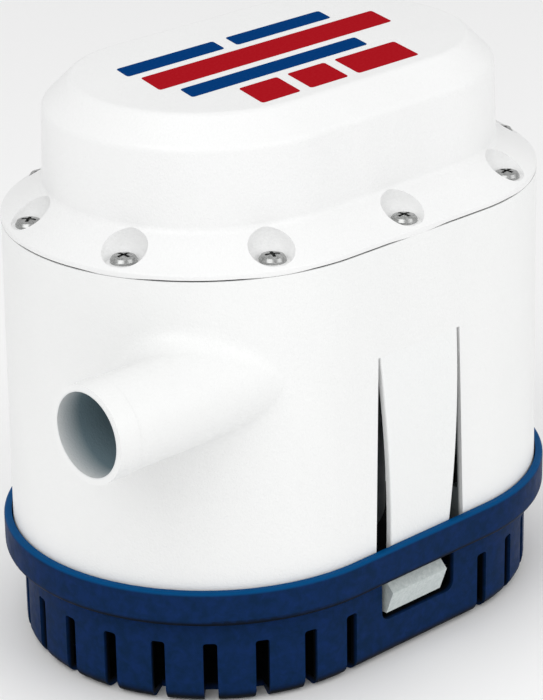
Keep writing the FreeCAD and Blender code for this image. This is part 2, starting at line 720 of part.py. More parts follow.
def motor():
    finished(turned("motor_can", [
        ("bush_radius", "can_bottom"), ("can_radius", "can_bottom"),
        ("can_radius", "can_top"), ("can_radius - can_wall", "can_top"),
        ("can_radius - can_wall", "can_bottom + can_wall"),
        ("bush_radius", "can_bottom + can_wall")]), "motor_can")
    finished(turned("motor_end_cap", [
        ("bush_radius", "can_top"), ("can_radius", "can_top"),
        ("can_radius", "can_top + 2.5"), ("bush_radius + 4", "can_top + 2.5"),
        ("bush_radius + 4", "end_cap_top"), ("bush_radius", "end_cap_top")]), "motor_end_cap")
    for label, low, high in (("lower_bush", "can_bottom", "can_bottom + 5"),
                             ("upper_bush", "can_top", "end_cap_top")):
        finished(ring(label, "shaft_radius + running_clearance", "bush_radius", low, high),
                 label)
    magnets = ring("magnet_ring", "magnet_inner", "magnet_outer", "core_bottom - 2",
                   "core_top + 2")
    gap = block("magnet_gap", f"{PUMP_X} - 8", f"{PUMP_X} + 8", "-can_radius", "can_radius",
                "can_bottom", "can_top")
    finished(cut("motor_magnets", magnets, gap), "motor_magnets")
    finished(turned("motor_shaft", [
        ("0", "shaft_bottom"), ("shaft_radius - 0.5", "shaft_bottom"),
        ("shaft_radius", "shaft_bottom + 0.5"), ("shaft_radius", "shaft_top - 0.5"),
        ("shaft_radius - 0.5", "shaft_top"), ("0", "shaft_top")]), "motor_shaft")
    core = ring("core_blank", "shaft_radius", "core_radius", "core_bottom", "core_top")
    grooves = []
    for index in range(7):
        angle = math.radians(360 * index / 7)
        groove = doc.addObject("Part::Box", f"core_groove_{index}")
        bind(groove, {"Length": "core_radius", "Width": "3", "Height": "core_top"})
        turn = FreeCAD.Rotation(FreeCAD.Vector(0, 0, 1), math.degrees(angle))
        start = turn.multVec(FreeCAD.Vector(0.55 * size("core_radius"), -1.5, 0))
        groove.Placement = FreeCAD.Placement(
            FreeCAD.Vector(size(PUMP_X), 0, size("core_bottom / 2")) + start, turn)
        grooves.append(groove)
    finished(cut("armature_core", core, fuse("core_grooves", grooves)), "armature_core")
    coils = []
    for end, low, high in (("lower", "core_bottom - 4.5", "core_bottom"),
                           ("upper", "core_top", "core_top + 4.5")):
        coils.append(turned(f"coil_head_{end}", [
            ("shaft_radius", low), ("core_radius - 5", low),
            ("core_radius - 2", f"{low} + 1.5"), ("core_radius - 2", high),
            ("shaft_radius", high)]))
    pair = doc.addObject("Part::Compound", "armature_windings")
    pair.Links = coils
    finished(pair, "armature_windings")
    finished(ring("commutator", "shaft_radius", "commutator_radius", "core_top + 5",
                  "can_top - 1"), "commutator")


def brushes():
    """A carbon brush on each side of the commutator, each pushed by a leaf spring."""
    low = "core_top + 7"
    high = "can_top - 3"
    touch = "commutator_radius + 0.4"
    outer = "commutator_radius + 8"
    for label, inner_x, outer_x, half in (("motor_brushes", touch, outer, "2.5"),
                                          ("brush_springs", outer, f"{outer} + 1", "4")):
        pair = doc.addObject("Part::Compound", label)
        pair.Links = [
            block(f"{label}_far", f"{PUMP_X} + {inner_x}", f"{PUMP_X} + {outer_x}",
                  f"-{half}", half, low, high),
            block(f"{label}_near", f"{PUMP_X} - ({outer_x})", f"{PUMP_X} - ({inner_x})",
                  f"-{half}", half, low, high)]
        finished(pair, label)


def motor_fixings():
    finished(turned("shaft_seal", [
        ("shaft_radius + running_clearance", "capsule_bottom + 0.2"),
        ("seal_radius", "capsule_bottom + 0.2"),
        ("seal_radius", "capsule_bottom + capsule_floor"),
        ("shaft_radius + 1.5", "capsule_bottom + capsule_floor"),
        ("shaft_radius + running_clearance", "capsule_bottom + 1.6")]), "shaft_seal")
    holes = upright_holes("retainer_holes", round_about_pump("retainer_ring", RETAINER_ANGLES),
                          FIXING_HOLE, "deck_top - 1", "deck_top + 4")
    blank = turned("retainer_blank", [
        ("capsule_radius - 6", "end_cap_top - 1.5"), ("capsule_radius - 0.2", "end_cap_top - 1.5"),
        ("capsule_radius - 0.2", "deck_top"), ("retainer_radius", "deck_top"),
        ("retainer_radius", "deck_top + 2"), ("capsule_radius - 6", "deck_top + 2")])
    finished(cut("motor_retainer", blank, holes), "motor_retainer")
    height = size("deck_top + 2")
    screws("motor_retainer_screws",
           [(x, y, height) for x, y in round_about_pump("retainer_ring", RETAINER_ANGLES)],
           FIXING_HEAD, FIXING_SHANK, "9")


# ---------------------------------------------------------------- impeller and volute plate

def impeller():
    hub = turned("impeller_hub", [
        ("shaft_radius", "impeller_vane_bottom"),
        ("impeller_hub_radius", "impeller_vane_bottom"),
        ("impeller_hub_radius", "impeller_top - 4"),
        ("impeller_hub_radius + 3", "impeller_top - 2"),
        ("impeller_radius", "impeller_top - 1.6"), ("impeller_radius", "impeller_top"),
        ("shaft_radius", "impeller_top")])
    vanes = []
    for index in range(6):
        vane = doc.addObject("Part::Box", f"vane_{index}")
        bind(vane, {"Length": "impeller_radius - 7", "Width": "1.8",
                    "Height": "impeller_top - 1.8 - impeller_vane_bottom"})
        turn = FreeCAD.Rotation(FreeCAD.Vector(0, 0, 1), 60 * index)
        start = turn.multVec(FreeCAD.Vector(4.5, 3.5, size("impeller_vane_bottom")))
        vane.Placement = FreeCAD.Placement(FreeCAD.Vector(size(PUMP_X), 0, 0) + start, turn)
        vanes.append(vane)
    finished(fuse("impeller", [hub] + vanes), "impeller")
    finished(ring("impeller_nut", "shaft_radius", "shaft_radius + 2.4",
                  "impeller_vane_bottom - 3", "impeller_vane_bottom"), "impeller_nut")


def volute_plate():
    holes = upright_holes("volute_holes",
                          round_about_pump("volute_screw_ring", VOLUTE_ANGLES), FIXING_HOLE,
                          "chamber_bottom - 1", "chamber_bottom + 8")
    blank = turned("volute_blank", [
        ("eye_radius", "chamber_bottom - 4"), ("eye_radius + 2.2", "chamber_bottom - 4"),
        ("eye_radius + 2.2", "chamber_bottom"), ("chamber_radius - 0.2", "chamber_bottom"),
        ("chamber_radius - 0.2", "chamber_bottom + volute_thickness"),
        ("eye_radius", "chamber_bottom + volute_thickness")])
    finished(cut("volute_plate", blank, holes), "volute_plate")
    height = size("chamber_bottom")
    screws("volute_screws", [
        (x, y, height) for x, y in round_about_pump("volute_screw_ring", VOLUTE_ANGLES)],
        FIXING_HEAD, FIXING_SHANK, "12", pointing_down=False)


# ---------------------------------------------------------------- float switch

def float_switch():
    pivot = "float_pivot_x"
    height = "float_pivot_height"
    body = block("float_block", "float_near", "float_far", "-float_half_width",
                 "float_half_width", "float_bottom", "float_top")
    soft = rounded("float_soft", body, [("3", lambda edge: edge.BoundBox.ZLength > 5)])
    arm_body = doc.addObject("PartDesign::Body", "float_arm")
    arm_sketch = flat_sketch(arm_body, "float_arm_outline", "XZ_Plane", [
        (f"{pivot} - 3", f"{height} - 2"), (f"{pivot} - 3", f"{height} + 3"),
        (f"{pivot} + 3", f"{height} + 3"), ("float_near + 9", "float_top"),
        ("float_near + 1", "float_top - 4"), ("float_near + 0.5", "float_top")])
    pad = arm_body.newObject("PartDesign::Pad", "float_arm_pad")
    pad.Profile = arm_sketch
    pad.Midplane = True
    pad.Length = 9
    arm_body.Tip = pad
    bore = cross_cylinder("float_bore", "float_pin_radius + running_clearance", "-10", "10",
                          pivot, height)
    pocket = cylinder("magnet_pocket", "4.05", "float_top - 3", "float_top + 1",
                      "float_far - 7", "0")
    finished(cut("float", fuse("float_solid", [soft, arm_body]),
                 fuse("float_tools", [bore, pocket])), "float")
    finished(cylinder("float_magnet", "4", "float_top - 3", "float_top - 0.2",
                      "float_far - 7", "0"), "float_magnet")
    finished(cross_cylinder("float_pivot_pin", "float_pin_radius", "-9", "9", pivot, height),
             "float_pivot_pin")
    reed = block("reed_block", "29", "44", "-17", "17", "deck_bottom - 5", "deck_bottom")
    neck = block("reed_neck", "30", "42", "-9", "9", "float_pivot_height + 12",
                 "deck_bottom - 4")
    ears = [block(f"reed_ear_{side}", f"{pivot} - 4", f"{pivot} + 4", low, high,
                  f"{height} - 4", f"{height} + 14")
            for side, low, high in (("front", "-9", "-5.2"), ("rear", "5.2", "9"))]
    pin_hole = cross_cylinder("pin_hole", "float_pin_radius", "-12", "12", pivot, height)
    screw_holes = upright_holes("bracket_holes", BRACKET_SCREWS, FIXING_HOLE,
                                "deck_bottom - 7", "deck_bottom + 1")
    finished(cut("float_switch_body", fuse("float_bracket", [reed, neck] + ears),
                 fuse("bracket_tools", [pin_hole, screw_holes])), "float_switch_body")
    screws("float_switch_screws",
           [(x, y, size("deck_bottom - 5")) for x, y in BRACKET_SCREWS],
           FIXING_HEAD, FIXING_SHANK, "10", pointing_down=False)


def switch_module():
    """The potted switching module on the dry deck."""
    blank = block("module_blank", "42", "66", "-24", "24", "deck_top",
                  "deck_top + switch_module_height")
    soft = rounded("module_soft", blank, [("2.5", lambda edge: edge.BoundBox.ZLength > 5)])
    feet = [block(f"module_foot_{side}", "34", "44", low, high, "deck_top", "deck_top + 2")
            for side, low, high in (("front", "-24", "-18.4"), ("rear", "18.4", "24"))]
    holes = upright_holes("module_holes", MODULE_SCREWS, FIXING_HOLE, "deck_top - 1",
                          "deck_top + 3")
    finished(cut("switch_module", fuse("module_solid", [soft] + feet), holes), "switch_module")
    screws("switch_module_screws", [(x, y, size("deck_top + 2")) for x, y in MODULE_SCREWS],
           FIXING_HEAD, FIXING_SHANK, "4.4")


# ---------------------------------------------------------------- cable inlet

def cable_inlet():
    flange = cross_cylinder("gland_flange", "inlet_flange", "shell_radius + 0.2",
                            "shell_radius + 2.6", "inlet_x", "inlet_height")
    thread = cross_cylinder("gland_thread", "inlet_thread", "shell_radius - shell_wall - 5",
                            "shell_radius + 0.3", "inlet_x", "inlet_height")
    bore = cross_cylinder("gland_bore", "inlet_bore", "shell_radius - shell_wall - 6",
                          "shell_radius + 4", "inlet_x", "inlet_height")
    finished(cut("cable_gland", fuse("gland_solid", [flange, thread]), bore), "cable_gland")
    blank = cross_cylinder("gland_nut_blank", "inlet_thread + 1.5",
                           "shell_radius - shell_wall - 3.2", "shell_radius - shell_wall - 0.1",
                           "inlet_x", "inlet_height")
    hole = cross_cylinder("gland_nut_hole", "inlet_thread", "shell_radius - shell_wall - 6",
                          "shell_radius", "inlet_x", "inlet_height")
    finished(cut("gland_nut", blank, hole), "gland_nut")


# ---------------------------------------------------------------- build, check and write

def check_document():
    """Stop if any object failed or any sub-part isn't a valid shape."""
    doc.recompute()
    for item in doc.Objects:
        if "Invalid" in item.State or "Error" in item.State:
            raise RuntimeError(f"{item.Label} failed: {item.State}")
    for item in parts:
        if item.Shape.isNull() or not item.Shape.isValid():
            raise RuntimeError(f"{item.Label} has no valid shape")


strainer_base()
pump_housing()
latch_tabs()
top_cover()
cover_gasket()
cover_screws()
motor()
brushes()
motor_fixings()
impeller()
volute_plate()
float_switch()
switch_module()
cable_inlet()
check_document()
os.makedirs("parts", exist_ok=True)
for item in parts:
    item.Shape.exportStep(f"parts/{item.Label}.step")
    box = item.Shape.BoundBox
    print(f"{item.Label:24s} solids {len(item.Shape.Solids):3d} volume {item.Shape.Volume:10.0f}"
          f"  x {box.XMin:7.1f} {box.XMax:7.1f}  y {box.YMin:6.1f} {box.YMax:6.1f}"
          f"  z {box.ZMin:6.1f} {box.ZMax:6.1f}")
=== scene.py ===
"""Looks of the automatic bilge pump: materials, printed emblem, seam, light and camera.

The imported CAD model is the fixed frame. Lengths are metres, in the row's frame: +X along the
stadium, -Y the front flank, +Z up, origin under the middle of the strainer base.
"""
import json
import math

import bmesh
import bpy
from mathutils import Matrix, Vector


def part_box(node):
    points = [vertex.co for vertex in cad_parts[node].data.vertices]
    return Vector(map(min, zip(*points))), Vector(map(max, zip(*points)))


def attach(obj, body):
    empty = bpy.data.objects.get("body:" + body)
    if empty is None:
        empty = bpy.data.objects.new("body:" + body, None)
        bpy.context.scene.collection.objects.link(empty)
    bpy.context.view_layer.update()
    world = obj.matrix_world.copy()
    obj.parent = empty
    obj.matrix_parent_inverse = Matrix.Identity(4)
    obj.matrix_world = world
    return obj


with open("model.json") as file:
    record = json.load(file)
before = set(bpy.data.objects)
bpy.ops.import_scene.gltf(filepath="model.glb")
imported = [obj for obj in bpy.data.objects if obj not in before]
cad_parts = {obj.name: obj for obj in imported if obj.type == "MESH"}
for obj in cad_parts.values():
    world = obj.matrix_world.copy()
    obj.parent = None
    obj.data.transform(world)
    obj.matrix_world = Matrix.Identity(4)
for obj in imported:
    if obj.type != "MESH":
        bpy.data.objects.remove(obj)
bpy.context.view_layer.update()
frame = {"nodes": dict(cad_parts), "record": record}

MM = 0.001
nodes = frame["nodes"]


# ---------------------------------------------------------------- places on the part

HALF_STRAIGHT = 27.5 * MM                       # half the length of the straight flanks
SPIGOT_AXIS = (0.0, -42.0 * MM, 100.4 * MM)     # a point on the spigot's axis, along X

# The housing's wall leans inwards by SHELL_LEAN from SHELL_BOTTOM to SHELL_TOP.
SHELL_BOTTOM = 31 * MM
SHELL_TOP = 133.2 * MM
SHELL_LEAN = 1.0 * MM

# Ranges that a tint fades over: reach from the stadium's middle line, radius in the spigot,
# place along X, or height.
WALL_DEPTH = (59.1 * MM, 59.9 * MM)
BORE_EDGE = (12.5 * MM, 12.9 * MM)
BORE_MOUTH = (-112.2 * MM, -103 * MM)
BORE_END = (-50 * MM, -40 * MM)
# Height below which the latch tabs are greyed as painted shade.
LATCH_SHADE_LINE = (30 * MM, 33 * MM)
LIP_TOP = (36.5 * MM, 37.8 * MM)
SKIRT_DEPTH = (56.6 * MM, 57.7 * MM)
BASE_FLOOR = (0.6 * MM, 2.2 * MM)


# ---------------------------------------------------------------- shader helpers

class Shade:
    """A Principled material under construction, with object coordinates to vary it by."""

    def __init__(self, name, colour, roughness, **sockets):
        self.material = bpy.data.materials.new(name)
        self.material.use_nodes = True
        self.tree = self.material.node_tree
        self.shader = self.tree.nodes["Principled BSDF"]
        self.place = self.tree.nodes.new("ShaderNodeTexCoord").outputs["Object"]
        self.set("Base Color", (*colour, 1.0))
        self.set("Roughness", roughness)
        for socket, value in sockets.items():
            self.set(socket.replace("_", " "), value)
        self.last_bump = None

    def set(self, socket, value):
        """Set one of the shader's own sockets."""
        self.shader.inputs[socket].default_value = value

    def link(self, source, target):
        """Join two sockets."""
        self.tree.links.new(source, target)

    def noise(self, scale, detail=3.0, roughness=0.5, distortion=0.0, stretch=None):
        """A noise of the given scale per metre; stretch squeezes it along each axis."""
        node = self.tree.nodes.new("ShaderNodeTexNoise")
        node.inputs["Scale"].default_value = scale
        node.inputs["Detail"].default_value = detail
        node.inputs["Roughness"].default_value = roughness
        node.inputs["Distortion"].default_value = distortion
        source = self.place
        if stretch:
            mapping = self.tree.nodes.new("ShaderNodeMapping")
            mapping.inputs["Scale"].default_value = stretch
            self.link(self.place, mapping.inputs["Vector"])
            source = mapping.outputs["Vector"]
        self.link(source, node.inputs["Vector"])
        return node.outputs["Fac"]

    def spread(self, source, low, high, to_low, to_high):
        """A value run from one range to another, clamped."""
        node = self.tree.nodes.new("ShaderNodeMapRange")
        for socket, value in (("From Min", low), ("From Max", high),
                              ("To Min", to_low), ("To Max", to_high)):
            node.inputs[socket].default_value = value
        self.link(source, node.inputs["Value"])
        return node.outputs["Result"]

    def rising(self, source, span):
        """0 below the span, 1 above it."""
        return self.spread(source, *span, 0.0, 1.0)

    def falling(self, source, span):
        """1 below the span, 0 above it."""
        return self.spread(source, *span, 1.0, 0.0)

    def blend(self, factor, first, second):
        """A colour between two colours or sockets."""
        node = self.tree.nodes.new("ShaderNodeMix")
        node.data_type = "RGBA"
        self.link(factor, node.inputs["Factor"])
        for socket, colour in ((node.inputs[6], first), (node.inputs[7], second)):
            if isinstance(colour, tuple):
                socket.default_value = (*colour, 1.0)
            else:
                self.link(colour, socket)
        return node.outputs[2]

    def maths(self, operation, first, second):
        """One step of arithmetic on two value sockets."""
        node = self.tree.nodes.new("ShaderNodeMath")
        node.operation = operation
        self.link(first, node.inputs[0])
        self.link(second, node.inputs[1])
        return node.outputs["Value"]

    def vector_maths(self, operation, first, second=(0.0, 0.0, 0.0), output="Vector"):
        """One step of arithmetic on a vector socket and a fixed vector."""
        node = self.tree.nodes.new("ShaderNodeVectorMath")
        node.operation = operation
        self.link(first, node.inputs[0])
        node.inputs[1].default_value = second
        return node.outputs[output]

    def along(self, vector, axis):
        """How far a vector socket goes along an axis."""
        return self.vector_maths("DOT_PRODUCT", vector, axis, output="Value")

    def height(self):
        """How high a point lies."""
        node = self.tree.nodes.new("ShaderNodeSeparateXYZ")
        self.link(self.place, node.inputs["Vector"])
        return node.outputs["Z"]

    def reach(self):
        """How far out a point lies in plan from the stadium's middle line."""
        plan = self.vector_maths("MULTIPLY", self.place, (1.0, 1.0, 0.0))
        quarter = self.vector_maths("ABSOLUTE", plan)
        past = self.vector_maths("SUBTRACT", quarter, (HALF_STRAIGHT, 0.0, 0.0))
        return self.vector_maths("LENGTH", self.vector_maths("MAXIMUM", past), output="Value")

    def colour(self, source):
        """Take the base colour from a socket."""
        self.link(source, self.shader.inputs["Base Color"])

    def rough(self, source, low, high, to_low, to_high):
        """Take the roughness from a socket, run to a range."""
        self.link(self.spread(source, low, high, to_low, to_high),
                  self.shader.inputs["Roughness"])

    def bump(self, height, distance, strength=1.0):
        """One more layer of relief, distance metres deep."""
        node = self.tree.nodes.new("ShaderNodeBump")
        node.inputs["Strength"].default_value = strength
        node.inputs["Distance"].default_value = distance
        self.link(height, node.inputs["Height"])
        if self.last_bump:
            self.link(self.last_bump, node.inputs["Normal"])
        self.last_bump = node.outputs["Normal"]
        self.link(self.last_bump, self.shader.inputs["Normal"])


# ---------------------------------------------------------------- materials

UP = (0.0, 0.0, 1.0)
HOUSING_WHITE = (0.84, 0.845, 0.84)
COVER_WHITE = (0.84, 0.843, 0.841)
FLOW_SHADE = 0.965                  # how dark the flow marks are in a white moulding
# Painted shade on the housing's inner walls, seen through the latch gaps.
INNER_WALL_SHADE = (0.165, 0.19, 0.195)
# Painted shadow deep in the spigot's bore.
BORE_SHADE_GREY = (0.19, 0.265, 0.3)
TAB_WHITE = (0.82, 0.828, 0.825)
TAB_WHITE_DULL = (0.8, 0.81, 0.806)
# Painted shade on the catches below the lip, mottled between two greys.
CATCH_SHADE_DARK = (0.47, 0.525, 0.52)
CATCH_SHADE_LIGHT = (0.6, 0.645, 0.64)
NAVY = (0.0052, 0.021, 0.075)
NAVY_DULL = (0.0042, 0.0185, 0.057)
NAVY_BRIGHT = (0.0062, 0.024, 0.096)
# Painted highlight on the lip's upward-facing top edge.
BRIM_HIGHLIGHT_TEAL = (0.0015, 0.06, 0.185)
# Painted shade on faces that look down, such as under the lip.
UNDERSIDE_SHADE = (0.003, 0.0055, 0.011)
# Painted shade on the base's insides, seen through the slots.
INSIDE_SHADE_NAVY = (0.004, 0.0055, 0.007)


def sparked(shade, smooth, dull):
    """The skin of a lightly sparked mould: uneven gloss, soft unevenness and a fine grain."""
    shade.rough(shade.noise(60.0, 4.0, 0.6), 0.3, 0.7, smooth, dull)
    shade.bump(shade.noise(420.0, 2.0, 0.5), 0.00006, 0.7)
    shade.bump(shade.noise(1300.0, 2.0, 0.7), 0.00014, 1.0)
    return shade.material


def moulded_white(name, colour, painted_shade=False):
    """White ABS with soft gloss and faint flow marks. One with shade painted in darkens down
    the spigot's bore and on the inner walls: painted shadow where little light reaches."""
    shade = Shade(name, colour, 0.36, Specular_IOR_Level=0.42)
    flow = shade.noise(9.0, 4.0, 0.55, 0.6, (1.0, 1.0, 0.45))
    dark = tuple(FLOW_SHADE * channel for channel in colour)
    base = shade.blend(shade.rising(flow, (0.35, 0.65)), dark, colour)
    # Painted shade: the bore and the inner walls are darkened where shadow falls.
    if painted_shade:
        lean = shade.spread(shade.height(), SHELL_BOTTOM, SHELL_TOP, 0.0, SHELL_LEAN)
        inner = shade.falling(shade.maths("ADD", shade.reach(), lean), WALL_DEPTH)
        away = shade.vector_maths("SUBTRACT", shade.place, SPIGOT_AXIS)
        across = shade.vector_maths("MULTIPLY", away, (0.0, 1.0, 1.0))
        bore = shade.falling(shade.vector_maths("LENGTH", across, output="Value"), BORE_EDGE)
        along = shade.along(shade.place, (1.0, 0.0, 0.0))
        deep = shade.maths("MULTIPLY", shade.rising(along, BORE_MOUTH),
                           shade.falling(along, BORE_END))
        # Painted shadow down the bore.
        base = shade.blend(shade.maths("MULTIPLY", bore, deep), base, BORE_SHADE_GREY)
        # Painted shade on the inner walls.
        base = shade.blend(inner, base, INNER_WALL_SHADE)
    shade.colour(base)
    return sparked(shade, 0.32, 0.42)


def latch_white(name):
    """The latch tabs' white, greyed below the lip as painted shade, where the catches sit in
    the window's shadow.
    """
    shade = Shade(name, TAB_WHITE, 0.38, Specular_IOR_Level=0.4)
    mottle = shade.noise(900.0, 4.0, 0.7)
    catch_shade = shade.blend(shade.rising(mottle, (0.35, 0.65)), CATCH_SHADE_DARK, CATCH_SHADE_LIGHT)
    # Painted shade below the lip.
    low = shade.falling(shade.height(), LATCH_SHADE_LINE)
    shade.colour(shade.blend(low, shade.blend(mottle, TAB_WHITE_DULL, TAB_WHITE), catch_shade))
    return sparked(shade, 0.34, 0.44)


def moulded_navy(name):
    """Navy ABS: deep blue with cloudy pigment, a painted highlight on the lip's upward-facing
    top edge, painted shade on the insides and painted shade on faces that look down."""
    shade = Shade(name, NAVY, 0.42, Specular_IOR_Level=0.02)
    cloud = shade.noise(320.0, 5.0, 0.65, 0.4)
    base = shade.blend(shade.rising(cloud, (0.36, 0.7)), NAVY_DULL, NAVY_BRIGHT)
    normal = shade.tree.nodes.new("ShaderNodeNewGeometry").outputs["Normal"]
    upward = shade.along(normal, UP)
    # Painted highlight where the lip's top faces up.
    brim_highlight = shade.maths("MULTIPLY", shade.rising(upward, (0.1, 0.7)),
                       shade.rising(shade.height(), LIP_TOP))
    base = shade.blend(brim_highlight, base, BRIM_HIGHLIGHT_TEAL)
    # Painted shade on downward faces.
    base = shade.blend(shade.falling(upward, (-0.5, -0.05)), base, UNDERSIDE_SHADE)
    # Painted shade inside the skirt.
    inside = shade.maths("MULTIPLY", shade.falling(shade.reach(), SKIRT_DEPTH),
                         shade.rising(shade.height(), BASE_FLOOR))
    shade.colour(shade.blend(inside, base, INSIDE_SHADE_NAVY))
    shade.rough(shade.noise(240.0, 4.0, 0.6), 0.3, 0.7, 0.36, 0.5)
    shade.bump(shade.noise(500.0, 3.0, 0.5), 0.00005, 0.7)
    shade.bump(shade.noise(2800.0, 2.0, 0.6), 0.00002, 0.7)
    return shade.material


def metal(name, colour, roughness, scale=900.0, stretch=None):
    """Metal with a worked surface: uneven gloss and fine marks."""
    shade = Shade(name, colour, roughness, Metallic=1.0)
    marks = shade.noise(scale, 4.0, 0.6, 0.3, stretch)
    shade.rough(marks, 0.3, 0.7, 0.7 * roughness, 1.35 * roughness)
    worn = tuple(0.72 * channel for channel in colour)
    shade.colour(shade.blend(shade.rising(marks, (0.35, 0.6)), worn, colour))
    shade.bump(marks, 0.00003, 0.8)
    return shade.material


def plain_moulding(name, colour, roughness):
    """Inner mouldings, rubber and potting: uneven gloss and a fine grain."""
    shade = Shade(name, colour, roughness)
    grain = shade.noise(700.0, 3.0, 0.55)
    light = tuple(min(1.0, 1.25 * channel + 0.004) for channel in colour)
    patches = shade.rising(shade.noise(90.0, 4.0), (0.35, 0.65))
    shade.colour(shade.blend(patches, colour, light))
    shade.rough(grain, 0.3, 0.7, 0.85 * roughness, min(1.0, 1.15 * roughness))
    shade.bump(grain, 0.00003, 0.7)
    return shade.material


def wound_copper(name):
    """Turns of enamelled wire, as fine ridges round the armature."""
    shade = Shade(name, (0.55, 0.2, 0.06), 0.32, Metallic=1.0, Coat_Weight=0.4)
    wave = shade.tree.nodes.new("ShaderNodeTexWave")
    wave.wave_type = "BANDS"
    wave.bands_direction = "Z"
    wave.inputs["Scale"].default_value = 450.0
    wave.inputs["Distortion"].default_value = 1.5
    shade.link(shade.place, wave.inputs["Vector"])
    shade.bump(wave.outputs["Fac"], 0.0002, 0.8)
    shade.rough(wave.outputs["Fac"], 0.0, 1.0, 0.5, 0.28)
    return shade.material


def print_ink(name, colour):
    """Pad-printed ink: flat, matt and a little uneven."""
    shade = Shade(name, colour, 0.45, Specular_IOR_Level=0.0)
    uneven = shade.noise(1200.0, 3.0, 0.6)
    thin = tuple(min(1.0, 1.06 * channel + 0.004) for channel in colour)
    shade.colour(shade.blend(shade.rising(uneven, (0.4, 0.7)), colour, thin))
    shade.rough(uneven, 0.3, 0.7, 0.4, 0.5)
    shade.bump(uneven, 0.00001, 0.5)
    return shade.material


# Colour, roughness, and for a metal the scale and stretch of its marks, by material slot.
METALS = {
    "screw_steel": ((0.42, 0.425, 0.42), 0.26, 1100.0),
    "motor_steel": ((0.5, 0.5, 0.49), 0.35, 500.0, (1.0, 1.0, 0.2)),
    "shaft_steel": ((0.62, 0.62, 0.61), 0.2, 1800.0, (0.2, 0.2, 4.0)),
    "bush_bronze": ((0.6, 0.38, 0.16), 0.38, 1600.0),
}
MOULDINGS = {
    "gasket_rubber": ((0.02, 0.021, 0.022), 0.75),
    "end_cap_plastic": ((0.025, 0.025, 0.028), 0.5),
    "magnet_ferrite": ((0.03, 0.03, 0.033), 0.62),
    "brush_carbon": ((0.012, 0.012, 0.012), 0.55),
    "impeller_plastic": ((0.02, 0.02, 0.022), 0.45),
    "float_plastic": ((0.6, 0.25, 0.04), 0.45),
    "module_epoxy": ((0.012, 0.012, 0.014), 0.22),
    "gland_plastic": ((0.018, 0.018, 0.02), 0.5),
}


def make_materials():
    """One material for each slot of the record."""
    made = {
        "housing_white": moulded_white("housing_white", HOUSING_WHITE, painted_shade=True),
        "cover_white": moulded_white("cover_white", COVER_WHITE),
        "base_navy": moulded_navy("base_navy"),
        "winding_copper": wound_copper("winding_copper"),
    }
    made.update({slot: metal(slot, *values) for slot, values in METALS.items()})
    made.update({slot: plain_moulding(slot, *values) for slot, values in MOULDINGS.items()})
    return made


def paint_nodes(materials):
    """Give each CAD node the material of its slot, and the latch tabs a white of their own."""
    tabs = latch_white("latch_white")
    for part in frame["record"]["subparts"]:
        mesh = nodes[part["node"]].data
        mesh.materials.clear()
        latch = part["node"].startswith("latch_tab")
        mesh.materials.append(tabs if latch else materials[part["material_slot"]])


# ---------------------------------------------------------------- pieces

def new_object(name, mesh, material):
    """An object of a finished bmesh, linked to the scene."""
    data = bpy.data.meshes.new(name)
    mesh.to_mesh(data)
    mesh.free()
    data.materials.append(material)
    made = bpy.data.objects.new(name, data)
    bpy.context.scene.collection.objects.link(made)
    return made


def cover_piece(name, mesh, material):
    """A piece that belongs to the cover."""
    piece = new_object(name, mesh, material)
    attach(piece, "root")


# ---------------------------------------------------------------- printed emblem

INK_THICKNESS = 0.05 * MM
INK_NAVY = (0.0008, 0.038, 0.165)
INK_RED = (0.36, 0.0065, 0.012)
BAR_SLANT = 0.3                     # how far a bar's ends lean, per unit of its width
BAR_ROUND = 1.2                     # how much of each side its corners take, in mm
CORNER_STEPS = 6

# Each bar's name, x from and to, y from and to in mm, and ink.
BARS = [
    ("emblem_bar_long", -46, -8, 11.5, 19.5, "navy"),
    ("emblem_bar_short", -3, 36, 11.5, 19.5, "navy"),
    ("emblem_band_red", -48, 46, -4.5, 8, "red"),
    ("emblem_band_navy", -46, 24, -16, -8, "navy"),
    ("emblem_block_left", -36, -21, -34, -19.5, "red"),
    ("emblem_block_middle", -17, -2, -34, -19.5, "red"),
    ("emblem_block_right", 2, 27, -34, -19.5, "red"),
]


def bar_outline(x0, x1, y0, y1):
    """A slanted bar's outline in mm, its corners rounded by quadratic curves."""
    slant = BAR_SLANT * (y1 - y0)
    corners = [Vector((x0, y0)), Vector((x1, y0)), Vector((x1 + slant, y1)),
               Vector((x0 + slant, y1))]
    outline = []
    for index, corner in enumerate(corners):
        before = (corners[index - 1] - corner).normalized()
        after = (corners[(index + 1) % len(corners)] - corner).normalized()
        start = corner + before * BAR_ROUND
        end = corner + after * BAR_ROUND
        for step in range(CORNER_STEPS + 1):
            share = step / CORNER_STEPS
            outline.append(start * (1 - share) ** 2 + corner * 2 * share * (1 - share)
                           + end * share ** 2)
    return outline


def printed_bar(name, outline, material):
    """A flat bar of ink, half sunk in the cover's top."""
    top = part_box("top_cover")[1].z
    mesh = bmesh.new()
    low, high = ([mesh.verts.new((point.x * MM, point.y * MM, level)) for point in outline]
                 for level in (top - INK_THICKNESS, top + INK_THICKNESS))
    mesh.faces.new(high)
    mesh.faces.new(low[::-1])
    for index in range(len(outline)):
        after = (index + 1) % len(outline)
        mesh.faces.new((low[index], low[after], high[after], high[index]))
    bmesh.ops.triangulate(mesh, faces=[face for face in mesh.faces if len(face.verts) > 4])
    cover_piece(name, mesh, material)


def emblem():
    """A plain generic graphic in the place and colours of a maker's print: slanted bars."""
    inks = {"navy": print_ink("ink_navy", INK_NAVY), "red": print_ink("ink_red", INK_RED)}
    for name, x0, x1, y0, y1, ink in BARS:
        printed_bar(name, bar_outline(x0, x1, y0, y1), inks[ink])


# ---------------------------------------------------------------- seam under the cover

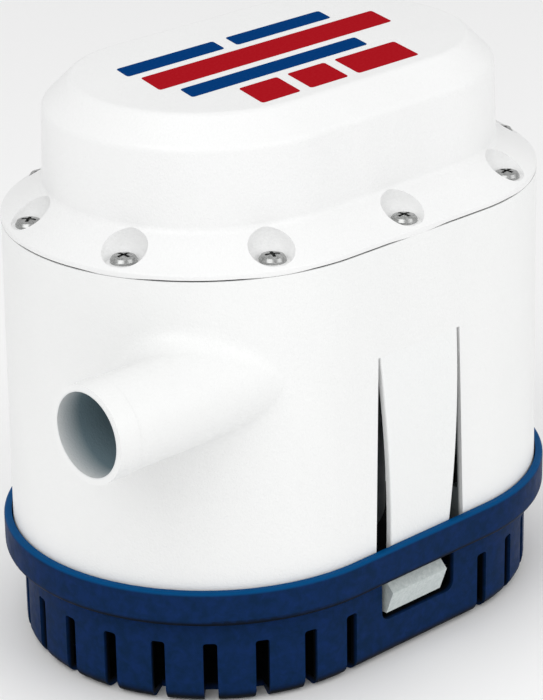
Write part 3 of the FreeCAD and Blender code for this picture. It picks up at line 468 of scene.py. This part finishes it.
SEAM_RADIUS = 59.95 * MM
BEAD_THICKNESS = 0.6 * MM
LEAST_BEAD = 0.03 * MM              # the bead's height where the seam gapes fully
SEAM_STEPS = 90
SCREW_ANGLES = [math.radians(angle) for angle in (22.5, 67.5, 112.5, 157.5)]
MIDDLE_GRIP = 1.0                   # how much of the seam a screw in mid flank closes
END_GRIP = 0.72                     # the same for the screws round the ends
PINCH_LENGTH = 2 * MM               # how far from a screw the seam stays closed
PINCH_FADE = 12 * MM                # and how much further on it gapes fully


def seam_stations():
    """Points round the seam: place along it, its straight's X, and the way out in X and Y."""
    arc = math.pi * SEAM_RADIUS
    run = 2 * HALF_STRAIGHT
    flank_steps = SEAM_STEPS // 2
    stations = []
    for side, start in ((1, 0.0), (-1, arc + run)):
        for step in range(SEAM_STEPS):
            turn = math.pi * step / SEAM_STEPS
            stations.append((start + turn * SEAM_RADIUS, side * HALF_STRAIGHT,
                             side * math.sin(turn), -side * math.cos(turn)))
        for step in range(flank_steps):
            along = run * step / flank_steps
            stations.append((start + arc + along, side * (HALF_STRAIGHT - along),
                             0.0, float(side)))
    return stations


def seam_pinches():
    """Where the cover's screws pinch the seam, as places along it, and how hard."""
    arc = math.pi * SEAM_RADIUS
    pinches = []
    for start in (0.0, arc + 2 * HALF_STRAIGHT):
        pinches.append((start + arc + HALF_STRAIGHT, MIDDLE_GRIP))
        pinches.extend((start + angle * SEAM_RADIUS, END_GRIP) for angle in SCREW_ANGLES)
    return pinches


def seam_bead():
    """The cover's foot, which closes on the housing at each screw and gapes between them."""
    low, high = (corner.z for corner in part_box("cover_gasket"))
    pinches = seam_pinches()
    total = 2 * (math.pi * SEAM_RADIUS + 2 * HALF_STRAIGHT)
    mesh = bmesh.new()
    rings = []
    for place, x, out_x, out_y in seam_stations():
        near, grip = min((min(abs(place - pinch), total - abs(place - pinch)), grip)
                         for pinch, grip in pinches)
        gape = min(1.0, max(0.0, (near - PINCH_LENGTH) / PINCH_FADE))
        gape = gape * gape * (3 - 2 * gape)
        foot = high - max(LEAST_BEAD, grip * (high - low) * (1 - gape))
        inner = SEAM_RADIUS - BEAD_THICKNESS
        corners = [(inner, foot), (SEAM_RADIUS, foot), (SEAM_RADIUS, high), (inner, high)]
        rings.append([mesh.verts.new((x + radius * out_x, radius * out_y, height))
                      for radius, height in corners])
    for index, ring in enumerate(rings):
        after = rings[(index + 1) % len(rings)]
        for corner in range(len(ring)):
            following = (corner + 1) % len(ring)
            mesh.faces.new((ring[corner], ring[following], after[following], after[corner]))
    bmesh.ops.recalc_face_normals(mesh, faces=mesh.faces)
    cover_piece("cover_foot_bead", mesh, materials["cover_white"])


# ---------------------------------------------------------------- stage, light and camera

FLOOR_HALF = 12.0
FLOOR_WHITE = (0.93, 0.93, 0.93)
WORLD_STRENGTH = 0.775
LIGHT_TARGET = Vector((0, 0, 0.09))

# Each soft box's name, azimuth and elevation in degrees, distance, size and power.
SOFT_BOXES = [
    ("key", -72, 42, 1.3, 0.9, 4.7),
    ("fill", 15, 22, 1.5, 1.0, 4.5),
    ("top", -30, 85, 1.2, 1.0, 0.9),
]

# The camera as solved from the body's outlines; angles in degrees.
CAMERA_AZIMUTH = -43.46
CAMERA_ELEVATION = 22.72
CAMERA_ROLL = -0.911
CAMERA_TARGET = Vector((0.0, 0.0, 79.4 * MM))
CAMERA_DISTANCE = 918.6 * MM
CAMERA_LENS = 154.5
CAMERA_SENSOR = 36.0
CAMERA_SHIFT = (-0.0070, 0.0016)
CAMERA_CLIP_END = 50.0


def direction(azimuth, elevation):
    """The way from the object to a place seen at two angles in radians."""
    return Vector((math.sin(azimuth) * math.cos(elevation),
                   -math.cos(azimuth) * math.cos(elevation), math.sin(elevation)))


def stage():
    """A wide plain pale floor."""
    mesh = bmesh.new()
    bmesh.ops.create_grid(mesh, x_segments=1, y_segments=1, size=FLOOR_HALF)
    shade = Shade("floor_paper", FLOOR_WHITE, 0.85)
    shade.bump(shade.noise(300.0, 3.0), 0.00005, 0.3)
    floor = new_object("floor", mesh, shade.material)


def soft_box(name, azimuth, elevation, distance, size, power):
    """A square soft box that looks at the middle of the pump."""
    light = bpy.data.lights.new(name, "AREA")
    light.shape = "SQUARE"
    light.size = size
    light.energy = power
    back = direction(math.radians(azimuth), math.radians(elevation))
    lamp = bpy.data.objects.new(name, light)
    lamp.location = LIGHT_TARGET + back * distance
    lamp.rotation_mode = "QUATERNION"
    lamp.rotation_quaternion = (-back).to_track_quat("-Z", "Y")
    bpy.context.scene.collection.objects.link(lamp)


def lights():
    """A bright even surround and three soft boxes."""
    world = bpy.data.worlds.new("studio")
    world.use_nodes = True
    background = world.node_tree.nodes["Background"].inputs
    background["Color"].default_value = (1.0, 1.0, 1.0, 1.0)
    background["Strength"].default_value = WORLD_STRENGTH
    bpy.context.scene.world = world
    for box in SOFT_BOXES:
        soft_box(*box)
    bpy.context.scene.view_settings.view_transform = "Standard"


def camera():
    """A long lens from the front left, a little above."""
    azimuth = math.radians(CAMERA_AZIMUTH)
    roll = math.radians(CAMERA_ROLL)
    back = direction(azimuth, math.radians(CAMERA_ELEVATION))
    right = Vector((math.cos(azimuth), math.sin(azimuth), 0.0))
    up = back.cross(right)
    side = math.cos(roll) * right + math.sin(roll) * up
    rise = -math.sin(roll) * right + math.cos(roll) * up
    data = bpy.data.cameras.new("camera")
    data.sensor_width = CAMERA_SENSOR
    data.lens = CAMERA_LENS
    data.shift_x, data.shift_y = CAMERA_SHIFT
    data.clip_end = CAMERA_CLIP_END
    view = bpy.data.objects.new("camera", data)
    turn = Matrix((side, rise, back)).transposed().to_4x4()
    view.matrix_world = Matrix.Translation(CAMERA_TARGET + back * CAMERA_DISTANCE) @ turn
    bpy.context.scene.collection.objects.link(view)
    bpy.context.scene.camera = view


materials = make_materials()
paint_nodes(materials)
emblem()
seam_bead()
stage()
lights()
camera()
